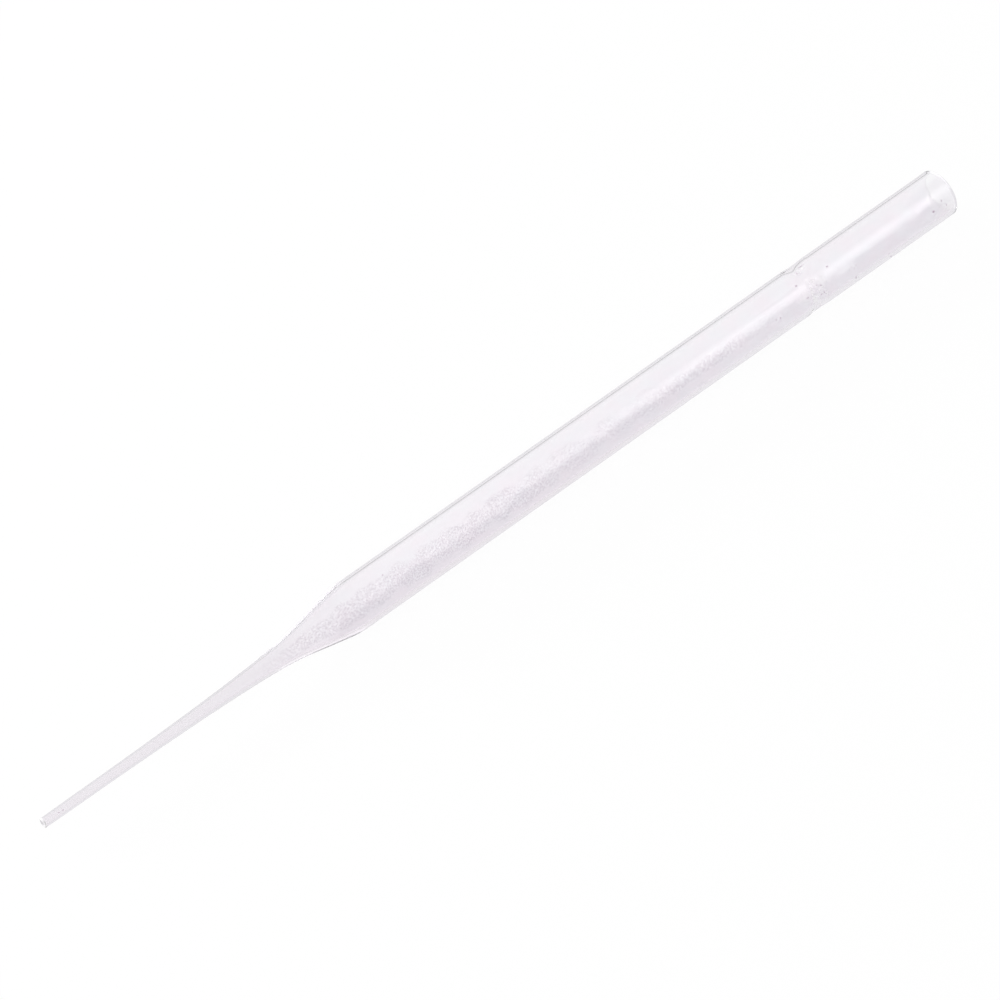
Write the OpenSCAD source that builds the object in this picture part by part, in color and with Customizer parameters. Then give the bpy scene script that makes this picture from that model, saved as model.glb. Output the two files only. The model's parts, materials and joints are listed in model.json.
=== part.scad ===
// Disposable dropper pipette, drawn from one plastic tube: a plain mouth that takes
// a rubber teat, a pinched ring that stops a plug, a barrel and a long fine nozzle.
// It lies on its barrel along X, tip towards -X and mouth towards +X. The origin is
// on the surface it lies on, under the middle of its length.

/* [Overall] */
// Length from the tip of the nozzle to the lip of the mouth
overall_len = 150; // [110:1:230]
// Outside diameter of the barrel
barrel_od = 6.8; // [5:0.1:9]
// Thickness of the barrel's wall
barrel_wall = 0.6; // [0.4:0.05:1]

/* [Nozzle] */
// Outside diameter at the tip
tip_od = 1.32; // [1.1:0.02:1.8]
// Diameter of the bore at the tip
tip_bore = 0.9; // [0.5:0.05:1]
// Length of the nearly parallel end with its straight bore
nozzle_len = 9.5; // [5:0.5:20]
// Growth in outside diameter over that length
nozzle_growth = 0.1; // [0:0.02:0.3]
// Radius that breaks the outer edge of the tip, up to half of the wall there
tip_round = 0.08; // [0.02:0.01:0.1]

/* [Flare and shoulder] */
// Length of the curved flare, from the nozzle to the cone
flare_len = 30.7; // [15:0.1:45]
// Length from the start of the cone to the full barrel
shoulder_len = 8.3; // [4:0.1:14]
// Slope of the cone, measured from the axis, in degrees
shoulder_angle = 11.3; // [8:0.1:14]
// Radius of the bend from the cone into the barrel
shoulder_bend = 13.7; // [5:0.1:16]

/* [Pinched ring] */
// Distance from the lip to the middle of the ring
ring_from_lip = 24.7; // [12:0.1:45]
// Length of the ring along the tube
ring_len = 4.6; // [2:0.1:8]
// Depth of the faint groove outside
groove_depth = 0.1; // [0.02:0.01:0.2]
// Height of the ridge inside, which stops a plug
ridge_height = 0.5; // [0.2:0.05:0.8]

/* [Hidden] */

barrel_r = barrel_od / 2;
bore_r = barrel_r - barrel_wall;
tip_r = tip_od / 2;
tip_bore_r = tip_bore / 2;
tip_edge_r = min(tip_round, (tip_r - tip_bore_r) / 2);
nozzle_r = tip_r + nozzle_growth / 2;
lip_r = barrel_wall / 2;

// Stations along the tube, from the tip
cone_start = nozzle_len + flare_len;
bend_start = cone_start + shoulder_len - shoulder_bend * sin(shoulder_angle);
ring_mid = overall_len - ring_from_lip;

// Radii where the cone meets the bend, and where the flare meets the cone
bend_r = barrel_r - shoulder_bend * (1 - cos(shoulder_angle));
cone_r = bend_r - (bend_start - cone_start) * tan(shoulder_angle);

// The flare leaves the nozzle slowly and turns up late: how far each end of its
// curve runs straight on, as a share of the flare's length
slow_share = 0.65;
late_share = 0.12;

flare_steps = 24;
bend_steps = 6;
ring_steps = 16;
lip_steps = 12;
tip_steps = 4;
facets = 96;

// A point on the cubic curve from a to d, drawn towards b and c
function curve_point(a, b, c, d, u) =
    pow(1 - u, 3) * a + 3 * u * pow(1 - u, 2) * b + 3 * u * u * (1 - u) * c + pow(u, 3) * d;

// Points on an arc about a centre, from one angle to another
function arc_points(centre, r, from, to, steps) =
    [for (i = [0:steps])
        let (angle = from + (to - from) * i / steps)
            centre + r * [cos(angle), sin(angle)]];

// A smooth swelling of the radius across the ring, by height
function ring_points(base_r, height) =
    [for (i = [0:ring_steps])
        [base_r + height * (1 - cos(360 * i / ring_steps)) / 2,
         ring_mid + ring_len * (i / ring_steps - 0.5)]];

// The outside from nozzle to barrel, as [radius, distance from the tip]
flare_from = [nozzle_r, nozzle_len];
flare_to = [cone_r, cone_start];
nozzle_slope = (nozzle_r - tip_r) / nozzle_len;
flare_points = [
    for (i = [0:flare_steps])
        curve_point(
            flare_from,
            flare_from + slow_share * flare_len * [nozzle_slope, 1],
            flare_to - late_share * flare_len * [tan(shoulder_angle), 1],
            flare_to,
            i / flare_steps)];
bend_points = arc_points(
    [barrel_r - shoulder_bend, cone_start + shoulder_len],
    shoulder_bend, -shoulder_angle, 0, bend_steps);
outer_swell = concat(flare_points, bend_points);

// The wall thickens with the tube, so the bore follows the outside in proportion
function bore_at(outer_r) =
    tip_bore_r + (bore_r - tip_bore_r) * (outer_r - nozzle_r) / (barrel_r - nozzle_r);
inner_swell = [for (p = outer_swell) [bore_at(p[0]), p[1]]];

outside = concat(
    arc_points([tip_r - tip_edge_r, tip_edge_r], tip_edge_r, -90, 0, tip_steps),
    outer_swell,
    ring_points(barrel_r, -groove_depth));
lip = arc_points([barrel_r - lip_r, overall_len - lip_r], lip_r, 0, 180, lip_steps);
inside = concat([[tip_bore_r, 0]], inner_swell, ring_points(bore_r, -ridge_height));

function backwards(points) = [for (i = [len(points) - 1:-1:0]) points[i]];

module pipette() {
    color([0.92, 0.9, 0.93, 0.6])
        translate([-overall_len / 2, 0, barrel_r])
            rotate([0, 90, 0])
                rotate_extrude($fn = facets)
                    polygon(concat(outside, lip, backwards(inside)));
}

pipette();
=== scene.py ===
import json
import math

import bpy
from mathutils import Matrix, Vector


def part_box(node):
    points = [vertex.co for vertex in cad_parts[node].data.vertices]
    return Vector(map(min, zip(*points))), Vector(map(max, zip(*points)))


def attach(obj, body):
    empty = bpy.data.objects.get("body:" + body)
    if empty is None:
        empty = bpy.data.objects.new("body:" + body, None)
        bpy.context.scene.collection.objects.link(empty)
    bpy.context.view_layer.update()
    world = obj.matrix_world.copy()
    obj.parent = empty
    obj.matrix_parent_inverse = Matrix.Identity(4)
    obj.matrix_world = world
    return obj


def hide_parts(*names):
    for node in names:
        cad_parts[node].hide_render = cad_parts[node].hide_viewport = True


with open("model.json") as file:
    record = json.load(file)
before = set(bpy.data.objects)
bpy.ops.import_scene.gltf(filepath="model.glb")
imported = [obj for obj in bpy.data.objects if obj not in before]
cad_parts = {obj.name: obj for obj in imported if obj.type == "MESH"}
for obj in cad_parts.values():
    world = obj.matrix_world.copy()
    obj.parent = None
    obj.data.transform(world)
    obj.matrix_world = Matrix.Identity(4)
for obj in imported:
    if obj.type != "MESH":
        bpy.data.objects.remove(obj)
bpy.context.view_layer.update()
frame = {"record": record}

# ---- The place it lies in ---------------------------------------------------------------
# The tube lies along X with its nozzle to the left, and is looked down on from the front left
# with a long lens, so that it runs from one corner of the frame to the other.
low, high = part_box("pipette")
LENGTH = high.x - low.x
AXIS_UP = (low.z + high.z) / 2

VIEW_AZIMUTH = math.radians(-41.0)
VIEW_ELEVATION = math.radians(54.0)
VIEW_DISTANCE = 0.560
AIM_ALONG, AIM_UP = -0.0024, 0.00036
LENS, SENSOR_WIDTH = 160.0, 36.0
aim = Vector((AIM_ALONG, 0.0, AXIS_UP + AIM_UP))
away = Vector((
    -math.sin(VIEW_AZIMUTH) * math.cos(VIEW_ELEVATION),
    math.cos(VIEW_AZIMUTH) * math.cos(VIEW_ELEVATION),
    -math.sin(VIEW_ELEVATION)))
camera_data = bpy.data.cameras.new("long_lens")
camera_data.lens = LENS
camera_data.sensor_width = SENSOR_WIDTH
camera = bpy.data.objects.new("camera", camera_data)
camera.matrix_world = (
    Matrix.Translation(aim - away * VIEW_DISTANCE)
    @ away.to_track_quat("-Z", "Y").to_matrix().to_4x4())
bpy.context.collection.objects.link(camera)
bpy.context.scene.camera = camera


# ---- Floor, room and lamps --------------------------------------------------------------
# A sheet of white paper in a pale room, with a window at the far left, a long soft box above and
# a strip of black card behind. The paper is white where it is looked at, greyer through the
# plastic, and keeps a faint shadow.
def fit(tree, kind, feeds=None, **settings):
    """Adds a node to a tree. A feed is a plain value or the socket of another node."""
    node = tree.nodes.new(kind)
    for name, value in settings.items():
        setattr(node, name, value)
    for name, value in (feeds or {}).items():
        if isinstance(value, bpy.types.NodeSocket):
            tree.links.new(value, node.inputs[name])
        else:
            node.inputs[name].default_value = value
    return node


def sum_of(tree, kind, first, second):
    """One step of arithmetic on two numbers or sockets."""
    return fit(tree, "ShaderNodeMath", {0: first, 1: second}, operation=kind).outputs[0]


def new_material(name):
    """An empty material and its tree."""
    material = bpy.data.materials.new(name)
    material.use_nodes = True
    material.node_tree.nodes.clear()
    return material, material.node_tree


def mixed_colour(tree, share, first, second):
    """A colour between two, by a share."""
    node = fit(tree, "ShaderNodeMix", data_type="RGBA")
    for socket, value in (
            (node.inputs["Factor"], share), (node.inputs[6], first), (node.inputs[7], second)):
        if isinstance(value, bpy.types.NodeSocket):
            tree.links.new(value, socket)
        else:
            socket.default_value = value
    return node.outputs[2]


def flat_sheet(name, corners, material):
    """A flat sheet with four corners, in one material."""
    mesh = bpy.data.meshes.new(name)
    mesh.from_pydata(corners, [], [(0, 1, 2, 3)])
    mesh.materials.append(material)
    sheet = bpy.data.objects.new(name, mesh)
    bpy.context.collection.objects.link(sheet)
    return sheet


WHITE = (1.0, 1.0, 1.0, 1.0)

# How much of the paper's look is plain white: to the eye, through the plastic, and where the
# plastic's wall has turned the light back
PAPER_WHITE_SEEN = 0.94
PAPER_WHITE_THROUGH = 0.15
PAPER_WHITE_TURNED = 0.82
PAPER_MATT = (0.9, 0.9, 0.9, 1.0)
PAPER_TURNED = (0.84, 0.83, 0.85, 1.0)

paper, tree = new_material("white_paper")
ray = fit(tree, "ShaderNodeLightPath")
through = sum_of(tree, "MAXIMUM", ray.outputs["Is Glossy Ray"], ray.outputs["Is Transmission Ray"])
turned_back = sum_of(
    tree, "MULTIPLY", through, sum_of(tree, "MINIMUM", ray.outputs["Glossy Depth"], 1.0))
share = sum_of(
    tree, "ADD",
    sum_of(tree, "MULTIPLY", ray.outputs["Is Camera Ray"], PAPER_WHITE_SEEN),
    sum_of(
        tree, "ADD", sum_of(tree, "MULTIPLY", through, PAPER_WHITE_THROUGH),
        sum_of(tree, "MULTIPLY", turned_back, PAPER_WHITE_TURNED - PAPER_WHITE_THROUGH)))
matt = fit(tree, "ShaderNodeBsdfDiffuse", {"Color": PAPER_MATT})
white = fit(tree, "ShaderNodeEmission", {
    "Color": mixed_colour(tree, turned_back, WHITE, PAPER_TURNED), "Strength": 1.0})
both = fit(tree, "ShaderNodeMixShader", {0: share, 1: matt.outputs[0], 2: white.outputs[0]})
fit(tree, "ShaderNodeOutputMaterial", {"Surface": both.outputs[0]})

PAPER_HALF = 3.0
floor = flat_sheet("paper", [
    (-PAPER_HALF, -PAPER_HALF, 0.0), (PAPER_HALF, -PAPER_HALF, 0.0),
    (PAPER_HALF, PAPER_HALF, 0.0), (-PAPER_HALF, PAPER_HALF, 0.0)], paper)

ROOM_LIGHT = 0.82
ROOM_SEEN = 1.0
room = bpy.data.worlds.new("pale_room")
bpy.context.scene.world = room
room.use_nodes = True
tree = room.node_tree
tree.nodes.clear()
ray = fit(tree, "ShaderNodeLightPath")
seen = sum_of(
    tree, "MAXIMUM", ray.outputs["Is Camera Ray"],
    sum_of(tree, "MAXIMUM", ray.outputs["Is Glossy Ray"], ray.outputs["Is Transmission Ray"]))
strength = fit(
    tree, "ShaderNodeMix", {"Factor": seen, "A": ROOM_LIGHT, "B": ROOM_SEEN}, data_type="FLOAT")
sky = fit(tree, "ShaderNodeBackground", {"Color": WHITE, "Strength": strength.outputs[0]})
fit(tree, "ShaderNodeOutputWorld", {"Surface": sky.outputs[0]})
room.cycles.sampling_method = "NONE"

# The soft box is a long cloth screen, brightest along its middle. Only its reflection shows
BOX_DISTANCE = 0.8
BOX_ANGLE = math.radians(118.0)
BOX_FROM, BOX_TO = 0.30, 0.9
BOX_FADE = 0.12
BOX_HALF = 0.48
BOX_GLOW = 2.1
cloth, tree = new_material("soft_box_cloth")
place = fit(tree, "ShaderNodeSeparateXYZ", {0: fit(tree, "ShaderNodeTexCoord").outputs["Object"]})
off_middle = sum_of(
    tree, "ADD",
    sum_of(tree, "MULTIPLY", place.outputs["Y"], math.sin(BOX_ANGLE)),
    sum_of(tree, "MULTIPLY", place.outputs["Z"], -math.cos(BOX_ANGLE)))
fall = fit(tree, "ShaderNodeMapRange", {
    "Value": sum_of(tree, "ABSOLUTE", off_middle, 0.0),
    "From Min": 0.0, "From Max": BOX_HALF, "To Min": 1.0, "To Max": 0.0},
    interpolation_type="SMOOTHSTEP").outputs[0]
end = fit(tree, "ShaderNodeMapRange", {
    "Value": place.outputs["X"],
    "From Min": BOX_FROM, "From Max": BOX_FROM + BOX_FADE, "To Min": 0.0, "To Max": 1.0},
    interpolation_type="SMOOTHSTEP").outputs[0]
glow = sum_of(
    tree, "ADD", 1.0, sum_of(tree, "MULTIPLY", BOX_GLOW, sum_of(tree, "MULTIPLY", fall, end)))
shine = fit(tree, "ShaderNodeEmission", {"Color": WHITE, "Strength": glow})
fit(tree, "ShaderNodeOutputMaterial", {"Surface": shine.outputs[0]})
cloth.cycles.emission_sampling = "NONE"

box_middle = Vector((0.0, math.cos(BOX_ANGLE), math.sin(BOX_ANGLE))) * BOX_DISTANCE
box_side = Vector((0.0, math.sin(BOX_ANGLE), -math.cos(BOX_ANGLE))) * BOX_HALF
soft_box = flat_sheet("soft_box", [
    box_middle + Vector((x, 0.0, 0.0)) + side for x, side in (
        (BOX_FROM, -box_side), (BOX_TO, -box_side), (BOX_TO, box_side), (BOX_FROM, box_side))],
    cloth)
soft_box.visible_camera = False
soft_box.visible_diffuse = False
soft_box.visible_transmission = False
soft_box.visible_shadow = False

# The window gives the shadow its direction
WINDOW_DISTANCE = 1.0
WINDOW_TOWARDS = Vector((-0.55, 0.75, 0.32)).normalized()
WINDOW_WIDE, WINDOW_HIGH = 0.3, 0.25
WINDOW_POWER = 8.6
window_data = bpy.data.lights.new("window", "AREA")
window_data.shape = "RECTANGLE"
window_data.size = WINDOW_WIDE
window_data.size_y = WINDOW_HIGH
window_data.energy = WINDOW_POWER
window = bpy.data.objects.new("window", window_data)
window_place = WINDOW_TOWARDS * WINDOW_DISTANCE
window.visible_glossy = False
window.visible_transmission = False
window.matrix_world = (
    Matrix.Translation(window_place)
    @ (-window_place).to_track_quat("-Z", "Y").to_matrix().to_4x4())
bpy.context.collection.objects.link(window)

# The black card lies on the paper behind the tube, and shows only where the tube's wall has
# turned the light once: it draws the dark line along the tube's far edge
CARD_FROM, CARD_TO = 0.0142, 0.0165
CARD_HALF = 0.3
CARD_UP = 0.0003
CARD_BLACK = (0.02, 0.02, 0.02, 1.0)
card_paint, tree = new_material("black_card")
black = fit(tree, "ShaderNodeBsdfDiffuse", {"Color": CARD_BLACK})
nothing = fit(tree, "ShaderNodeBsdfTransparent")
turned_once = fit(tree, "ShaderNodeMath", {
    0: fit(tree, "ShaderNodeLightPath").outputs["Glossy Depth"], 1: 1.0, 2: 0.5},
    operation="COMPARE").outputs[0]
seen_inside = fit(tree, "ShaderNodeMixShader", {
    0: turned_once, 1: nothing.outputs[0], 2: black.outputs[0]})
fit(tree, "ShaderNodeOutputMaterial", {"Surface": seen_inside.outputs[0]})
card = flat_sheet("black_card", [
    (-CARD_HALF, CARD_FROM, CARD_UP), (CARD_HALF, CARD_FROM, CARD_UP),
    (CARD_HALF, CARD_TO, CARD_UP), (-CARD_HALF, CARD_TO, CARD_UP)], card_paint)
card.visible_camera = False
card.visible_diffuse = False
card.visible_shadow = False

# Light bounces many times inside the plastic before it leaves
MOST_BOUNCES, GLOSSY_BOUNCES = 32, 24
bpy.context.scene.cycles.max_bounces = MOST_BOUNCES
bpy.context.scene.cycles.glossy_bounces = GLOSSY_BOUNCES
bpy.context.scene.cycles.transmission_bounces = MOST_BOUNCES
bpy.context.scene.view_settings.view_transform = "Standard"


# ---- The drawn tube ---------------------------------------------------------------------
# One length of clear plastic tube, heated and drawn down at one end to a fine nozzle, then
# squeezed with warm pliers near the mouth so that a plug can't slip past.
MM = 0.001
mounts = {mount["name"]: mount for mount in frame["record"]["mounts"]}
BARREL_R = (high.z - low.z) / 2
BORE_R = mounts["mouth_bore"]["dims"]["r_mm"] * MM
TIP_BORE_R = mounts["tip_bore"]["dims"]["r_mm"] * MM
NOZZLE_LEN = mounts["tip_bore"]["dims"]["length_mm"] * MM
TIP_R = 0.66 * MM
NOZZLE_R = 0.71 * MM
TIP_ROUND = 0.08 * MM
BORE_EDGE = 0.03 * MM
FLARE_LEN = 30.7 * MM
SLOW_SHARE, LATE_SHARE = 0.65, 0.12
SHOULDER_LEN = 8.3 * MM
SHOULDER_ANGLE = math.radians(11.3)
SHOULDER_BEND = 13.7 * MM
RING_FROM_LIP = 24.7 * MM
RING_LEN = 4.6 * MM
GROOVE_DEPTH = 0.1 * MM
RIDGE_HEIGHT = 0.22 * MM
LIP_R = (BARREL_R - BORE_R) / 2

# Rows of faces along each part of the outline, and the narrow row that keeps a rounded edge crisp
FLARE_ROWS, CONE_ROWS, BEND_ROWS = 44, 5, 10
TIP_ROWS, BORE_EDGE_ROWS, NOZZLE_ROWS = 5, 4, 10
BARREL_ROWS, BORE_ROWS = 12, 150
MOUTH_ROWS, MOUTH_BORE_ROWS, LIP_ROWS = 16, 44, 20
RING_ROWS = 32
NEXT_ROW = 0.02 * MM


def bend_points(centre, radius, start, end, steps):
    """Points along an arc, as (distance from the tip, radius of the tube)."""
    turns = [math.radians(start + (end - start) * i / steps) for i in range(steps + 1)]
    return [(centre[0] + radius * math.sin(a), centre[1] + radius * math.cos(a)) for a in turns]


def straight_points(start, end, steps):
    """Points between two, without the last."""
    return [
        (start[0] + (end[0] - start[0]) * i / steps, start[1] + (end[1] - start[1]) * i / steps)
        for i in range(steps)]


def drawn_points(start, end, start_slope, end_slope, steps):
    """The flare: it leaves the nozzle slowly and turns up late."""
    run = end[0] - start[0]
    slow, late = SLOW_SHARE * run, LATE_SHARE * run
    first = (start[0] + slow, start[1] + slow * start_slope)
    second = (end[0] - late, end[1] - late * end_slope)
    points = []
    for i in range(steps):
        u = i / steps
        parts = ((1 - u) ** 3, 3 * u * (1 - u) ** 2, 3 * u * u * (1 - u), u ** 3)
        points.append(tuple(
            sum(part * place[k] for part, place in zip(parts, (start, first, second, end)))
            for k in (0, 1)))
    return points


def ring_points(radius, height, steps):
    """A smooth swelling of the radius across the ring, without the last point."""
    middle = LENGTH - RING_FROM_LIP
    return [
        (middle + RING_LEN * (i / steps - 0.5),
         radius + height * (1 - math.cos(2 * math.pi * i / steps)) / 2)
        for i in range(steps)]


cone_start = NOZZLE_LEN + FLARE_LEN
bend_start = cone_start + SHOULDER_LEN - SHOULDER_BEND * math.sin(SHOULDER_ANGLE)
bend_r = BARREL_R - SHOULDER_BEND * (1 - math.cos(SHOULDER_ANGLE))
cone_r = bend_r - (bend_start - cone_start) * math.tan(SHOULDER_ANGLE)
ring_end = LENGTH - RING_FROM_LIP + RING_LEN / 2

swell = drawn_points(
    (NOZZLE_LEN, NOZZLE_R), (cone_start, cone_r),
    (NOZZLE_R - TIP_R) / NOZZLE_LEN, math.tan(SHOULDER_ANGLE), FLARE_ROWS)
swell += straight_points((cone_start, cone_r), (bend_start, bend_r), CONE_ROWS)
swell += bend_points(
    (cone_start + SHOULDER_LEN, BARREL_R - SHOULDER_BEND), SHOULDER_BEND,
    -math.degrees(SHOULDER_ANGLE), 0.0, BEND_ROWS)
barrel_from = swell[-1][0]
ring_from = LENGTH - RING_FROM_LIP - RING_LEN / 2


def bore_at(outer_r):
    """The wall thickens with the tube, so the bore follows the outside in proportion."""
    return TIP_BORE_R + (BORE_R - TIP_BORE_R) * (outer_r - NOZZLE_R) / (BARREL_R - NOZZLE_R)


outside = bend_points((TIP_ROUND, TIP_R - TIP_ROUND), TIP_ROUND, -90.0, 0.0, TIP_ROWS)
outside += [(TIP_ROUND + NEXT_ROW, TIP_R)]
outside += straight_points(outside[-1], (NOZZLE_LEN, NOZZLE_R), NOZZLE_ROWS)[1:]
outside += swell
outside += straight_points((barrel_from, BARREL_R), (ring_from, BARREL_R), BARREL_ROWS)[1:]
outside += ring_points(BARREL_R, -GROOVE_DEPTH, RING_ROWS)
outside += straight_points((ring_end, BARREL_R), (LENGTH - LIP_R, BARREL_R), MOUTH_ROWS)
outside += [(LENGTH - LIP_R - NEXT_ROW, BARREL_R)]
lip = bend_points((LENGTH - LIP_R, BARREL_R - LIP_R), LIP_R, 0.0, 180.0, LIP_ROWS)
inside = bend_points(
    (BORE_EDGE, TIP_BORE_R + BORE_EDGE), BORE_EDGE, -90.0, -180.0, BORE_EDGE_ROWS)
inside += [(BORE_EDGE + NEXT_ROW, TIP_BORE_R)]
inside += straight_points(inside[-1], (NOZZLE_LEN, TIP_BORE_R), NOZZLE_ROWS)[1:]
inside += [(x, bore_at(r)) for x, r in swell]
inside += straight_points((barrel_from, BORE_R), (ring_from, BORE_R), BORE_ROWS)[1:]
inside += ring_points(BORE_R, -RIDGE_HEIGHT, RING_ROWS)
inside += straight_points((ring_end, BORE_R), (LENGTH - LIP_R, BORE_R), MOUTH_BORE_ROWS)
inside += [(LENGTH - LIP_R - NEXT_ROW, BORE_R)]
outline = outside + lip + inside[::-1]
outline.append(outline[0])

outline_mesh = bpy.data.meshes.new("tube_outline")
outline_mesh.from_pydata(
    [(low.x + x, 0.0, r) for x, r in outline], [(i, i + 1) for i in range(len(outline) - 1)], [])
tube = bpy.data.objects.new("tube", outline_mesh)
bpy.context.collection.objects.link(tube)


def new_tree(name, sizes):
    """A Geometry Nodes tree with one geometry in, one out, and a named input for each size."""
    tree = bpy.data.node_groups.new(name, "GeometryNodeTree")
    tree.interface.new_socket("Geometry", in_out="INPUT", socket_type="NodeSocketGeometry")
    for label, kind in sizes:
        tree.interface.new_socket(label, in_out="INPUT", socket_type=kind)
    tree.interface.new_socket("Geometry", in_out="OUTPUT", socket_type="NodeSocketGeometry")
    return tree, fit(tree, "NodeGroupInput")


def shaped(base, tree, values):
    """Runs the tree on a base object and gives back its result as a plain mesh object."""
    modifier = base.modifiers.new(tree.name, "NODES")
    modifier.node_group = tree
    for item in tree.interface.items_tree:
        if item.in_out == "INPUT" and item.name in values:
            modifier[item.identifier] = values[item.name]
    made = bpy.data.meshes.new_from_object(
        base.evaluated_get(bpy.context.evaluated_depsgraph_get()))
    base.modifiers.remove(modifier)
    made.materials.pop(index=0)
    made.name = base.name
    base.data = made
    return base


# The outline is laid along a flat sheet of rows and columns, and the sheet is wound round the axis.
# Each point remembers whether it is on the outside
MERGE_WITHIN = 1e-6
lathe, given = new_tree("turn_the_outline", [
    ("Outline Points", "NodeSocketInt"),
    ("Facets", "NodeSocketInt"),
    ("Axis Height", "NodeSocketFloat"),
    ("Ring Middle", "NodeSocketFloat"),
    ("Outside Points", "NodeSocketInt"),
    ("Crease Depth", "NodeSocketFloat"),
    ("Crease Width", "NodeSocketFloat"),
    ("Crease Wander", "NodeSocketFloat"),
    ("Wave Height", "NodeSocketFloat"),
    ("Seed", "NodeSocketFloat"),
    ("Plastic", "NodeSocketMaterial"),
])
columns = sum_of(lathe, "ADD", given.outputs["Facets"], 1.0)
sheet = fit(lathe, "GeometryNodeMeshGrid", {
    "Size X": 1.0, "Size Y": 1.0,
    "Vertices X": given.outputs["Outline Points"], "Vertices Y": columns})
spot = fit(lathe, "ShaderNodeSeparateXYZ", {0: fit(lathe, "GeometryNodeInputPosition").outputs[0]})
last_row = sum_of(lathe, "SUBTRACT", given.outputs["Outline Points"], 1.0)
row = sum_of(
    lathe, "MULTIPLY", sum_of(lathe, "ADD", spot.outputs["X"], 0.5), last_row)
turn = sum_of(lathe, "MULTIPLY", sum_of(lathe, "ADD", spot.outputs["Y"], 0.5), 2 * math.pi)
outline_place = fit(lathe, "GeometryNodeSampleIndex", {
    "Geometry": given.outputs["Geometry"],
    "Value": fit(lathe, "GeometryNodeInputPosition").outputs[0],
    "Index": fit(lathe, "FunctionNodeFloatToInt", {0: row}, rounding_mode="ROUND").outputs[0],
}, data_type="FLOAT_VECTOR", domain="POINT")
point = fit(lathe, "ShaderNodeSeparateXYZ", {0: outline_place.outputs[0]})
across = sum_of(lathe, "MULTIPLY", point.outputs["Z"], sum_of(lathe, "SINE", turn, 0.0))
up = sum_of(lathe, "MULTIPLY", point.outputs["Z"], sum_of(lathe, "COSINE", turn, 0.0))
turned = fit(lathe, "ShaderNodeCombineXYZ", {
    "X": point.outputs["X"], "Y": across,
    "Z": sum_of(lathe, "ADD", up, given.outputs["Axis Height"])})
skin_side = fit(
    lathe, "FunctionNodeCompare", {"A": row, "B": given.outputs["Outside Points"]},
    data_type="FLOAT", operation="LESS_THAN")
sided = fit(lathe, "GeometryNodeStoreNamedAttribute", {
    "Geometry": sheet.outputs["Mesh"], "Name": "outside", "Value": skin_side.outputs[0]},
    data_type="FLOAT", domain="POINT")
wound = fit(lathe, "GeometryNodeSetPosition", {
    "Geometry": sided.outputs[0], "Position": turned.outputs[0]})
joined = fit(lathe, "GeometryNodeMergeByDistance", {
    "Geometry": wound.outputs[0], "Distance": MERGE_WITHIN})

# Sides of the tube, as angles round it in degrees from +Y up: 90 is the top and 180 the front
UPPER_BACK, UPPER_FRONT = 29.0, 119.0
LOWER_FRONT, LOWER_BACK = 209.0, 299.0

place = fit(lathe, "GeometryNodeInputPosition").outputs[0]
spot = fit(lathe, "ShaderNodeSeparateXYZ", {0: place})
from_axis = fit(lathe, "ShaderNodeCombineXYZ", {
    "X": 0.0, "Y": spot.outputs["Y"],
    "Z": sum_of(lathe, "SUBTRACT", spot.outputs["Z"], given.outputs["Axis Height"])})
outward = fit(lathe, "ShaderNodeVectorMath", {0: from_axis.outputs[0]}, operation="NORMALIZE")
outer_skin = fit(lathe, "GeometryNodeInputNamedAttribute", {"Name": "outside"}, data_type="FLOAT")


def rise(tree, value, start, end):
    """A smooth rise from 0 to 1 as the value goes from start to end."""
    return fit(tree, "ShaderNodeMapRange", {
        "Value": value, "From Min": start, "From Max": end, "To Min": 0.0, "To Max": 1.0},
        interpolation_type="SMOOTHSTEP").outputs[0]


def product(tree, *values):
    """Numbers or sockets multiplied together, in order."""
    result = values[0]
    for value in values[1:]:
        result = sum_of(tree, "MULTIPLY", result, value)
    return result


def unevenness(tree, place, seed, size):
    """Smooth noise from 0 to 1 with lumps of about the given size."""
    return fit(tree, "ShaderNodeTexNoise", {
        "Vector": place, "W": seed, "Scale": 1.0 / size, "Detail": 1.0},
        noise_dimensions="4D").outputs[0]


def noise(tree, place, scale, detail, distortion=0.0):
    """Smooth noise from 0 to 1, with so many lumps to the metre."""
    return fit(tree, "ShaderNodeTexNoise", {
        "Vector": place, "Scale": scale, "Detail": detail, "Distortion": distortion}).outputs[0]


def towards(tree, outward, angle):
    """How far the surface faces an angle round the tube: 1 faces it, -1 faces away."""
    side = (0.0, math.cos(math.radians(angle)), math.sin(math.radians(angle)))
    return fit(tree, "ShaderNodeVectorMath", {
        0: outward, 1: side}, operation="DOT_PRODUCT").outputs["Value"]


def either_way(tree, outward, angle):
    """The same for an angle or the one opposite: 1 faces either, 0 lies between them."""
    return sum_of(tree, "ABSOLUTE", towards(tree, outward, angle), 0.0)


def stretch(tree, from_tip, ends):
    """1 along a stretch of the tube, 0 beyond it. Its ends, in mm: start, full, fading, gone."""
    start, full, fading, gone = ends
    return product(
        tree, rise(tree, from_tip, start * MM, full * MM),
        rise(tree, from_tip, gone * MM, fading * MM))


def on_skin(distance, angle, radius=BARREL_R):
    """The place on the outside at a distance from the tip, in mm, and an angle round the tube."""
    turn = math.radians(angle)
    return (low.x + distance * MM, radius * math.cos(turn), AXIS_UP + radius * math.sin(turn))


def patch(tree, place, middle, radius, core):
    """A round patch that is 1 within its core and 0 beyond its radius."""
    off_middle = fit(tree, "ShaderNodeVectorMath", {0: place, 1: middle}, operation="DISTANCE")
    return rise(tree, off_middle.outputs["Value"], radius, core)


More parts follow.
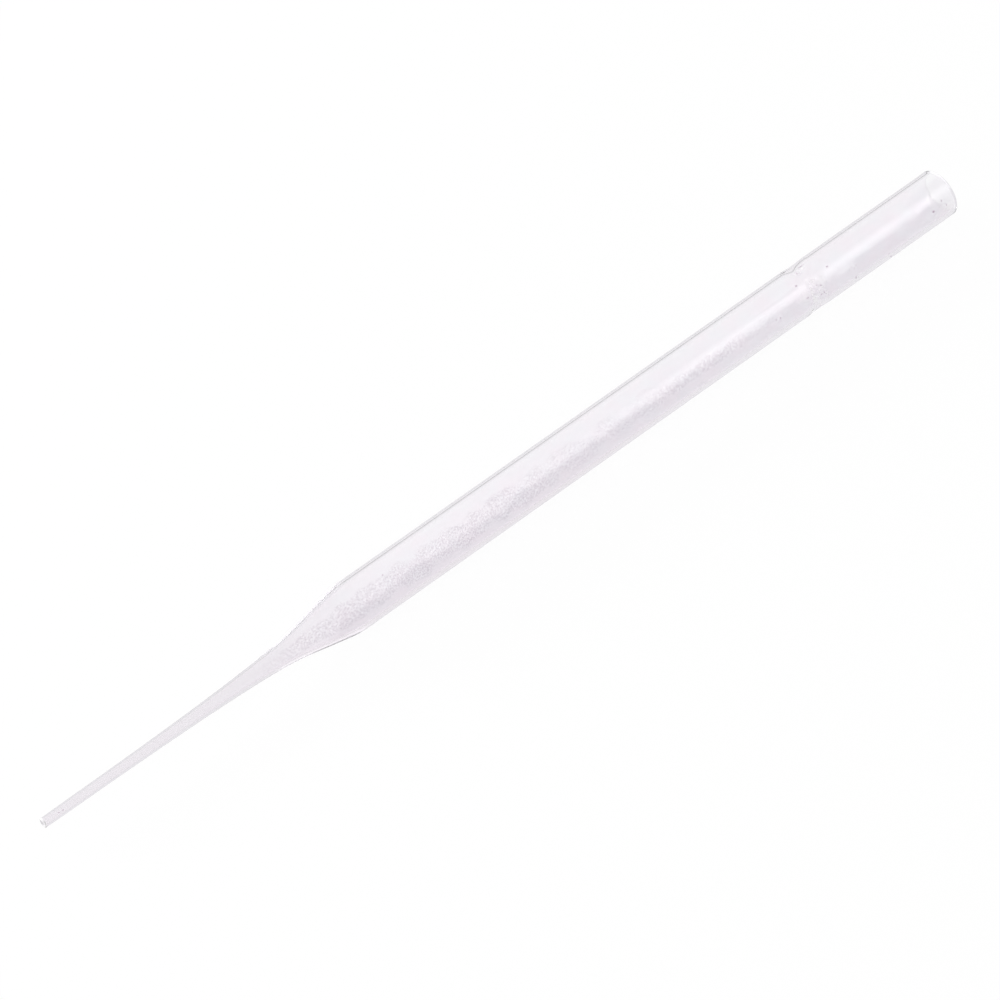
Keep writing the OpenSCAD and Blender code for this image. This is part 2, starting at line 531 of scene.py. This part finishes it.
# The jaws of the pliers left one uneven crease round the middle of the ring, and a few dents beside
# it. They are pressed into the outside only, so the wall is thinner there. Facing, here and below,
# is how squarely the skin faces a side where a mark begins, and where it is full
CREASE_BEND_SIZE = 2.5 * MM
CREASE_LUMP_SIZE = 1.4 * MM
CREASE_SHALLOW = 0.25
CREASE_LUMPY = 0.40, 0.62
JAW_SIDE = 140.0
JAW_FACING = 0.74, 0.96
strayed = product(
    lathe, given.outputs["Crease Wander"],
    sum_of(
        lathe, "SUBTRACT",
        unevenness(lathe, place, given.outputs["Seed"], CREASE_BEND_SIZE), 0.5))
off_crease = sum_of(
    lathe, "ABSOLUTE",
    sum_of(
        lathe, "DIVIDE",
        sum_of(
            lathe, "ADD", strayed,
            sum_of(lathe, "SUBTRACT", spot.outputs["X"], given.outputs["Ring Middle"])),
        given.outputs["Crease Width"]), 0.0)
crease_lumps = rise(
    lathe, unevenness(lathe, place, given.outputs["Seed"], CREASE_LUMP_SIZE), *CREASE_LUMPY)
squeeze = product(
    lathe, rise(lathe, off_crease, 1.0, 0.0), sum_of(lathe, "ADD", CREASE_SHALLOW, crease_lumps))
gripped = rise(lathe, towards(lathe, outward.outputs[0], JAW_SIDE), *JAW_FACING)
depth = product(lathe, squeeze, gripped, given.outputs["Crease Depth"])

# Each dent: distance from the tip, angle round the tube, half width and depth, in mm and degrees
DENTS = [
    (125.6, 146.0, 0.60, 0.14), (126.4, 151.0, 0.40, 0.09), (125.5, 131.0, 0.45, 0.09),
    (127.3, 146.0, 0.60, 0.09), (125.3, 74.0, 0.45, 0.08), (124.2, 83.0, 0.50, 0.10),
    (123.9, 97.0, 0.40, 0.08), (122.9, 106.0, 0.40, 0.09), (128.1, 108.5, 0.30, 0.06),
    (123.3, 143.0, 0.55, 0.11), (123.8, 156.0, 0.45, 0.09), (121.7, 135.0, 0.50, 0.08),
    (118.2, 143.0, 0.50, 0.07), (131.8, 144.0, 0.50, 0.08), (131.0, 141.0, 0.40, 0.06),
    (131.4, 173.0, 0.35, 0.06), (147.7, 136.0, 0.55, 0.09), (148.1, 155.0, 0.50, 0.08),
    (145.8, 147.0, 0.50, 0.07), (52.7, 103.0, 0.35, 0.05)]
for distance, angle, half_width, dent_depth in DENTS:
    dent = patch(lathe, place, on_skin(distance, angle), half_width * MM, 0.0)
    depth = sum_of(lathe, "ADD", depth, product(lathe, dent, dent_depth * MM))
inward = product(lathe, depth, outer_skin.outputs["Attribute"], -1.0)
squeezed = fit(lathe, "GeometryNodeSetPosition", {
    "Geometry": joined.outputs[0],
    "Offset": fit(
        lathe, "ShaderNodeVectorMath", {0: outward.outputs[0], "Scale": inward},
        operation="SCALE").outputs[0]})

# Drawing left the bore a little wavy, most of all along its upper front and its lower back. The
# waves start, are full, begin to fade and are gone at these distances from the tip, in mm
WAVES_TO_THE_METRE = 430.0
WAVY = (45.0, 60.0, 147.0, 149.3)
WAVY_FACING = 0.80, 0.96
waves = noise(lathe, place, WAVES_TO_THE_METRE, 0.0)
along = sum_of(lathe, "SUBTRACT", spot.outputs["X"], low.x)
wave_share = product(
    lathe, stretch(lathe, along, WAVY),
    rise(lathe, either_way(lathe, outward.outputs[0], LOWER_BACK), *WAVY_FACING))
swelling = product(
    lathe, sum_of(lathe, "SUBTRACT", 0.5, waves), given.outputs["Wave Height"],
    product(lathe, wave_share, sum_of(lathe, "SUBTRACT", 1.0, outer_skin.outputs["Attribute"])))
wavy = fit(lathe, "GeometryNodeSetPosition", {
    "Geometry": squeezed.outputs[0],
    "Offset": fit(
        lathe, "ShaderNodeVectorMath", {0: outward.outputs[0], "Scale": swelling},
        operation="SCALE").outputs[0]})
smooth = fit(lathe, "GeometryNodeSetShadeSmooth", {
    "Geometry": wavy.outputs[0], "Shade Smooth": True})
real = fit(lathe, "GeometryNodeRealizeInstances", {"Geometry": smooth.outputs[0]})
finished = fit(lathe, "GeometryNodeSetMaterial", {
    "Geometry": real.outputs[0], "Material": given.outputs["Plastic"]})
fit(lathe, "NodeGroupOutput", {"Geometry": finished.outputs[0]})

# Clear plastic with a breath of lilac, a little cloudy, greyer where it was drawn thin
COOL = (0.960, 0.957, 0.976, 1.0), (0.985, 0.982, 0.993, 1.0)
BLUSHED = (0.972, 0.945, 0.970, 1.0), (0.993, 0.974, 0.990, 1.0)
NOZZLE_GREY = (0.902, 0.878, 0.903, 1.0), (0.928, 0.918, 0.933, 1.0)
THINNED_TO, THINNED_FROM = 25.0 * MM, 60.0 * MM
CLOUDS_TO_THE_METRE, BLUSH_TO_THE_METRE = 220.0, 340.0
BLUSH_EDGE = 0.34, 0.64
plastic, tree = new_material("drawn_plastic")
place = fit(tree, "ShaderNodeTexCoord").outputs["Object"]
where = fit(tree, "ShaderNodeSeparateXYZ", {0: place})
from_tip = sum_of(tree, "SUBTRACT", where.outputs["X"], low.x)
from_axis = fit(tree, "ShaderNodeCombineXYZ", {
    "X": 0.0, "Y": where.outputs["Y"],
    "Z": sum_of(tree, "SUBTRACT", where.outputs["Z"], AXIS_UP)})
outward = fit(
    tree, "ShaderNodeVectorMath", {0: from_axis.outputs[0]}, operation="NORMALIZE").outputs[0]
outer_skin = fit(tree, "ShaderNodeAttribute", attribute_name="outside").outputs["Fac"]
clouds = noise(tree, place, CLOUDS_TO_THE_METRE, 3.0)
blush = rise(tree, noise(tree, place, BLUSH_TO_THE_METRE, 1.0), *BLUSH_EDGE)
barrel_tint = mixed_colour(
    tree, blush, mixed_colour(tree, clouds, *COOL), mixed_colour(tree, clouds, *BLUSHED))
drawn_tint = mixed_colour(
    tree, rise(tree, from_tip, THINNED_TO, THINNED_FROM),
    mixed_colour(tree, clouds, *NOZZLE_GREY), barrel_tint)

# The front of the shoulder, where the hot tube was gripped, is frosted in fine grains, and its dark
# grains are partly painted shade: the edge of the shadow seen through the tube, broken up. A thin
# strip of coarser dark grains runs on along the barrel as painted shade along that same edge, and
# below it the lower front is painted darker and warmer: painted shade deepening the shadow seen
# through the tube.
FROSTED = (27.0, 42.0, 70.0, 112.0)
SHADOW_EDGE_STRETCH = (60.0, 72.0, 102.0, 126.0)
LOWER_SHADE_STRETCH = (27.0, 42.0, 80.0, 122.0)
FROST_SIDE, SHADOW_EDGE_SIDE, LOWER_SHADE_SIDE = 130.0, 134.0, 165.0
FROST_FACING, SHADOW_EDGE_FACING, LOWER_SHADE_FACING = (0.84, 0.96), (0.960, 0.985), (0.66, 0.80)
FINE_TO_THE_METRE, COARSE_TO_THE_METRE = 6000.0, 4200.0
FINE_EDGE, COARSE_EDGE = (0.45, 0.55), (0.44, 0.56)
RAGGEDNESS = 0.26
SHADOW_EDGE_RAGGEDNESS = 0.2
# Frost grains: the dark ones are partly painted shade, the broken edge of the shadow seen through
FROST_AND_SHADE_GRAINS = (0.72, 0.67, 0.715, 1.0), (1.0, 0.99, 1.0, 1.0)
# Painted shade: dark grains along the edge of the shadow seen through the tube
SHADOW_EDGE_GRAINS = (0.79, 0.742, 0.785, 1.0), (1.0, 0.99, 1.0, 1.0)
# Painted shade: the lower front is darkened and warmed, deepening the shadow seen through the tube
PAINTED_SHADE_TINT = (0.968, 0.932, 0.955, 1.0)
waves = noise(tree, place, WAVES_TO_THE_METRE, 0.0)
ragged = product(tree, sum_of(tree, "SUBTRACT", waves, 0.5), RAGGEDNESS)
fine_grains = noise(tree, place, FINE_TO_THE_METRE, 1.0, 0.8)
coarse_grains = noise(tree, place, COARSE_TO_THE_METRE, 1.0, 0.6)
frost_and_shade_patch = product(
    tree, stretch(tree, from_tip, FROSTED),
    rise(tree, sum_of(tree, "ADD", towards(tree, outward, FROST_SIDE), ragged), *FROST_FACING))
# Where the painted shade of the shadow's edge lies along the barrel
shadow_edge_place = sum_of(
    tree, "ADD", towards(tree, outward, SHADOW_EDGE_SIDE), product(tree, ragged, SHADOW_EDGE_RAGGEDNESS))
painted_shadow_edge = product(
    tree, stretch(tree, from_tip, SHADOW_EDGE_STRETCH), rise(tree, shadow_edge_place, *SHADOW_EDGE_FACING))
# The lower front that takes the painted shade
painted_lower_shade = product(
    tree, stretch(tree, from_tip, LOWER_SHADE_STRETCH),
    rise(tree, sum_of(tree, "ADD", towards(tree, outward, LOWER_SHADE_SIDE), ragged), *LOWER_SHADE_FACING))
painted_lower_shade_tint = mixed_colour(tree, product(tree, painted_lower_shade, outer_skin), drawn_tint, PAINTED_SHADE_TINT)
painted_shadow_edge_tint = mixed_colour(
    tree, product(tree, painted_shadow_edge, outer_skin), painted_lower_shade_tint,
    mixed_colour(tree, rise(tree, coarse_grains, *COARSE_EDGE), *SHADOW_EDGE_GRAINS))
# Painted shade: dark grains over the frosted patch, where the shadow's edge shows through
frost_and_shade_tint = mixed_colour(
    tree, product(tree, frost_and_shade_patch, outer_skin), painted_shadow_edge_tint,
    mixed_colour(tree, rise(tree, fine_grains, *FINE_EDGE), *FROST_AND_SHADE_GRAINS))

# Where the jaws slipped, and where the lip was handled, the outside is scuffed into fine curls.
# Each patch: distance from the tip, angle round the tube, and radius
SCUFFS = [
    (125.9, 152.0, 1.0), (122.9, 106.0, 0.5), (124.3, 86.0, 0.7),
    (131.4, 143.0, 1.0), (118.0, 143.0, 1.1), (148.0, 146.0, 1.2), (146.0, 148.0, 1.0)]
SCUFF_CORE = 0.2
CURLS_TO_THE_METRE = 1500.0
CURL_EDGE = 0.40, 0.50
SCUFF_CURLS = (0.91, 0.87, 0.92, 1.0), (1.0, 0.99, 1.0, 1.0)
LIP_HAZE_FROM, LIP_HAZE_FULL = 145.5 * MM, 148.5 * MM
LIP_HAZE_FACING = 0.72, 0.92
LIP_TINT = (0.90, 0.885, 0.925, 1.0)
GLOSS, LIP_DULLNESS = 0.02, 0.2
SCUFF_DEPTH = 0.2 * MM
FROST_DEPTH = 0.02 * MM
scuffed = 0.0
for distance, angle, radius in SCUFFS:
    scuff = patch(tree, place, on_skin(distance, angle), radius * MM, SCUFF_CORE * radius * MM)
    scuffed = sum_of(tree, "MAXIMUM", scuffed, scuff)
curls = noise(tree, place, CURLS_TO_THE_METRE, 0.5, 1.2)
scuff_tint = mixed_colour(
    tree, product(tree, scuffed, outer_skin), frost_and_shade_tint,
    mixed_colour(tree, rise(tree, curls, *CURL_EDGE), *SCUFF_CURLS))
off_edges = rise(tree, either_way(tree, outward, LOWER_BACK), *LIP_HAZE_FACING)
lip_haze = product(tree, off_edges, rise(tree, from_tip, LIP_HAZE_FROM, LIP_HAZE_FULL))
handled_tint = mixed_colour(tree, product(tree, lip_haze, outer_skin), scuff_tint, LIP_TINT)
roughness = sum_of(tree, "ADD", GLOSS, product(tree, lip_haze, LIP_DULLNESS))
scuffs = fit(tree, "ShaderNodeBump", {
    "Strength": 1.0, "Distance": SCUFF_DEPTH,
    "Height": product(
        tree, sum_of(tree, "SUBTRACT", curls, 0.5), product(tree, scuffed, outer_skin))})
bump = fit(tree, "ShaderNodeBump", {
    "Strength": 1.0, "Distance": FROST_DEPTH,
    "Height": product(
        tree, sum_of(tree, "SUBTRACT", fine_grains, 0.5), product(tree, frost_and_shade_patch, outer_skin)),
    "Normal": scuffs.outputs[0]})

# Milky places: the broken end of the nozzle, the rim of the mouth, the sides of the cone, and the
# ring, where the jaws bent the plastic until it turned white.
# Each white patch: distance from the tip, angle round the tube, radius and how white
WHITENED = [
    (124.35, 130.0, 0.42, 0.80), (124.25, 138.0, 0.42, 0.90), (124.20, 145.0, 0.45, 0.95),
    (124.20, 153.0, 0.45, 0.95), (124.30, 162.0, 0.48, 0.95), (124.90, 117.0, 0.45, 0.60),
    (125.90, 141.3, 0.28, 0.80), (125.30, 146.0, 0.30, 0.60), (126.30, 163.0, 0.30, 0.50),
    (122.90, 140.0, 1.30, 0.25), (126.00, 127.0, 1.20, 0.25), (124.20, 79.7, 0.35, 0.50),
    (125.30, 77.9, 0.35, 0.40)]
WHITE_CORE = 0.3
HAZY_CONE = (34.0, 37.5, 47.0, 49.5)
BACK_HAZE, FRONT_HAZE = 0.5, 0.45
CONE_FACING = 0.5, 0.8
BACK_EDGEWISE, FRONT_EDGEWISE = (0.35, 0.12), (0.20, 0.05)
RIM_FROM, RIM_FULL = 149.70 * MM, 149.80 * MM
RIM_FACING = 0.2, 0.5
BROKEN_FULL, BROKEN_TO = 0.1 * MM, 0.3 * MM
CUT_END_MILK = 0.8
RIM_TINT = (0.97, 0.96, 0.98, 1.0)
BROKEN_TINT = (0.78, 0.775, 0.785, 1.0)
whitened = 0.0
for distance, angle, radius, amount in WHITENED:
    white_patch = patch(
        tree, place, on_skin(distance, angle), radius * MM, WHITE_CORE * radius * MM)
    whitened = sum_of(tree, "MAXIMUM", whitened, product(tree, amount, white_patch))
rim = product(
    tree, rise(tree, from_tip, RIM_FROM, RIM_FULL),
    rise(tree, towards(tree, outward, UPPER_FRONT), *RIM_FACING))
broken_end = rise(tree, from_tip, BROKEN_TO, BROKEN_FULL)
cut_end = sum_of(tree, "MAXIMUM", broken_end, rim)
edgewise = either_way(tree, outward, LOWER_BACK)
back_side = product(
    tree, rise(tree, towards(tree, outward, UPPER_BACK), *CONE_FACING),
    rise(tree, edgewise, *BACK_EDGEWISE))
front_side = product(
    tree, rise(tree, towards(tree, outward, LOWER_FRONT), *CONE_FACING), outer_skin,
    rise(tree, edgewise, *FRONT_EDGEWISE))
cone_haze = product(
    tree, stretch(tree, from_tip, HAZY_CONE),
    sum_of(
        tree, "ADD", product(tree, back_side, BACK_HAZE), product(tree, front_side, FRONT_HAZE)))
milky = sum_of(
    tree, "MAXIMUM", cone_haze,
    sum_of(
        tree, "MAXIMUM", product(tree, cut_end, CUT_END_MILK), product(tree, whitened, outer_skin)))
clearness = sum_of(tree, "SUBTRACT", 1.0, milky)
tint = mixed_colour(
    tree, cut_end, handled_tint, mixed_colour(tree, broken_end, RIM_TINT, BROKEN_TINT))

# Shadows go through the plastic, darker where it is seen edge on
LAMP_THROUGH = (0.925, 0.915, 0.93, 1.0), (0.5, 0.48, 0.51, 1.0)
ROOM_THROUGH = (0.985, 0.98, 0.99, 1.0), (0.86, 0.85, 0.87, 1.0)
skin = fit(tree, "ShaderNodeBsdfPrincipled", {
    "Base Color": tint, "Roughness": roughness, "IOR": 1.5,
    "Transmission Weight": clearness, "Normal": bump.outputs[0]})
edge_on = fit(tree, "ShaderNodeLayerWeight", {"Blend": 0.5}).outputs["Facing"]
thickness = sum_of(tree, "POWER", edge_on, 2.0)
lamp_shade = fit(tree, "ShaderNodeBsdfTransparent", {
    "Color": mixed_colour(tree, thickness, *LAMP_THROUGH)})
room_shade = fit(tree, "ShaderNodeBsdfTransparent", {
    "Color": mixed_colour(tree, thickness, *ROOM_THROUGH)})
ray = fit(tree, "ShaderNodeLightPath")
lamp_light = fit(tree, "ShaderNodeMixShader", {
    0: ray.outputs["Is Shadow Ray"], 1: skin.outputs[0], 2: lamp_shade.outputs[0]})
all_light = fit(tree, "ShaderNodeMixShader", {
    0: ray.outputs["Is Diffuse Ray"], 1: lamp_light.outputs[0], 2: room_shade.outputs[0]})
fit(tree, "ShaderNodeOutputMaterial", {"Surface": all_light.outputs[0]})

CREASE_OFF_MIDDLE = 0.7 * MM
tube = shaped(tube, lathe, {
    "Outline Points": len(outline),
    "Facets": 192,
    "Axis Height": AXIS_UP,
    "Ring Middle": high.x - RING_FROM_LIP - CREASE_OFF_MIDDLE,
    "Outside Points": len(outside),
    "Crease Depth": 0.18 * MM,
    "Crease Width": 0.7 * MM,
    "Crease Wander": 1.6 * MM,
    "Wave Height": 0.44 * MM,
    "Seed": 3.0,
    "Plastic": plastic,
})
tube.name = "drawn_tube"
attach(tube, "root")
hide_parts("pipette")


# ---- Specks -----------------------------------------------------------------------------
# Grains of dark dust that stuck to the plastic while it was warm, and one short scratch along the
# tube, at the top of the ring. Each is a small rounded crumb, half sunk in the outside.
# Each speck: distance from the tip, angle round the tube, length along it and width across it
SPECKS = [
    (145.84, 147.0, 0.36, 0.32), (147.6, 136.0, 0.14, 0.30), (148.1, 152.0, 0.10, 0.36),
    (122.7, 105.1, 0.28, 0.24), (128.0, 109.4, 0.26, 0.24), (125.3, 130.0, 0.16, 0.14),
    (125.8, 136.0, 0.22, 0.14), (125.9, 155.0, 0.12, 0.40), (125.4, 156.5, 0.32, 0.11),
    (125.55, 69.0, 1.10, 0.11), (125.1, 189.0, 0.16, 0.14), (125.0, 199.0, 0.14, 0.12),
    (124.2, 80.0, 0.11, 0.50), (123.2, 142.6, 0.42, 0.12), (131.8, 144.0, 0.14, 0.12),
    (131.0, 141.0, 0.12, 0.12), (130.6, 145.5, 0.14, 0.10), (131.35, 174.0, 0.12, 0.70),
    (137.8, 188.0, 0.25, 0.20), (118.3, 143.0, 0.09, 0.34), (117.6, 142.0, 0.09, 0.30),
    (52.7, 102.7, 0.22, 0.20), (2.25, 123.6, 0.16, 0.14), (2.84, 126.0, 0.22, 0.16)]
SPECK_THICKNESS = 0.7
DUST = (0.46, 0.34, 0.44, 1.0), (0.68, 0.60, 0.67, 1.0)
GRIT_TO_THE_METRE = 9000.0
GRIT_DEPTH = 0.02 * MM
DUST_GLOSSIEST, DUST_SPREAD = 0.3, 0.3


def outer_r_at(distance):
    """Outside radius of the tube at a distance from the tip."""
    for (x0, r0), (x1, r1) in zip(outside, outside[1:]):
        if x0 <= distance < x1:
            return r0 + (r1 - r0) * (distance - x0) / (x1 - x0)
    return BARREL_R


speck_places, speck_sizes, speck_turns = [], [], []
for distance, angle, length, width in SPECKS:
    speck_places.append(on_skin(distance, angle, outer_r_at(distance * MM)))
    speck_sizes.append((length * MM, width * MM, min(length, width) * SPECK_THICKNESS * MM))
    speck_turns.append((math.radians(angle) - math.pi / 2, 0.0, 0.0))
speck_mesh = bpy.data.meshes.new("specks")
speck_mesh.from_pydata(speck_places, [], [])
for name, values in (("size", speck_sizes), ("turn", speck_turns)):
    column = speck_mesh.attributes.new(name, "FLOAT_VECTOR", "POINT")
    for item, value in zip(column.data, values):
        item.vector = value
specks = bpy.data.objects.new("specks", speck_mesh)
bpy.context.collection.objects.link(specks)

scatter, given = new_tree("scatter_specks", [
    ("Crumb Width", "NodeSocketFloat"),
    ("Unevenness", "NodeSocketFloat"),
    ("Seed", "NodeSocketFloat"),
    ("Dust", "NodeSocketMaterial"),
])
crumb = fit(scatter, "GeometryNodeMeshIcoSphere", {"Radius": 0.5, "Subdivisions": 2})
lumps = fit(scatter, "ShaderNodeTexNoise", {
    "Vector": fit(scatter, "GeometryNodeInputPosition").outputs[0],
    "W": given.outputs["Seed"], "Scale": 3.0}, noise_dimensions="4D")
lumpy = fit(scatter, "GeometryNodeSetPosition", {
    "Geometry": crumb.outputs["Mesh"],
    "Position": fit(scatter, "ShaderNodeVectorMath", {
        0: fit(scatter, "GeometryNodeInputPosition").outputs[0],
        "Scale": sum_of(
            scatter, "ADD", 1.0,
            sum_of(
                scatter, "MULTIPLY", given.outputs["Unevenness"],
                sum_of(scatter, "SUBTRACT", lumps.outputs[0], 0.5)))},
        operation="SCALE").outputs[0]})
sown = fit(scatter, "GeometryNodeInstanceOnPoints", {
    "Points": given.outputs["Geometry"], "Instance": lumpy.outputs[0],
    "Rotation": fit(
        scatter, "GeometryNodeInputNamedAttribute", {"Name": "turn"},
        data_type="FLOAT_VECTOR").outputs["Attribute"],
    "Scale": fit(scatter, "ShaderNodeVectorMath", {
        0: fit(
            scatter, "GeometryNodeInputNamedAttribute", {"Name": "size"},
            data_type="FLOAT_VECTOR").outputs["Attribute"],
        "Scale": given.outputs["Crumb Width"]}, operation="SCALE").outputs[0]})
real = fit(scatter, "GeometryNodeRealizeInstances", {"Geometry": sown.outputs[0]})
smooth = fit(scatter, "GeometryNodeSetShadeSmooth", {
    "Geometry": real.outputs[0], "Shade Smooth": True})
finished = fit(scatter, "GeometryNodeSetMaterial", {
    "Geometry": smooth.outputs[0], "Material": given.outputs["Dust"]})
fit(scatter, "NodeGroupOutput", {"Geometry": finished.outputs[0]})

dust, tree = new_material("dark_dust")
place = fit(tree, "ShaderNodeTexCoord").outputs["Object"]
mottle = noise(tree, place, GRIT_TO_THE_METRE, 2.0)
grit = fit(tree, "ShaderNodeBump", {"Strength": 0.5, "Distance": GRIT_DEPTH, "Height": mottle})
crust = fit(tree, "ShaderNodeBsdfPrincipled", {
    "Base Color": mixed_colour(tree, mottle, *DUST),
    "Roughness": sum_of(tree, "ADD", DUST_GLOSSIEST, product(tree, mottle, DUST_SPREAD)),
    "Normal": grit.outputs[0]})
fit(tree, "ShaderNodeOutputMaterial", {"Surface": crust.outputs[0]})

specks = shaped(specks, scatter, {"Crumb Width": 1.0, "Unevenness": 0.5, "Seed": 5.0, "Dust": dust})
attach(specks, "root")
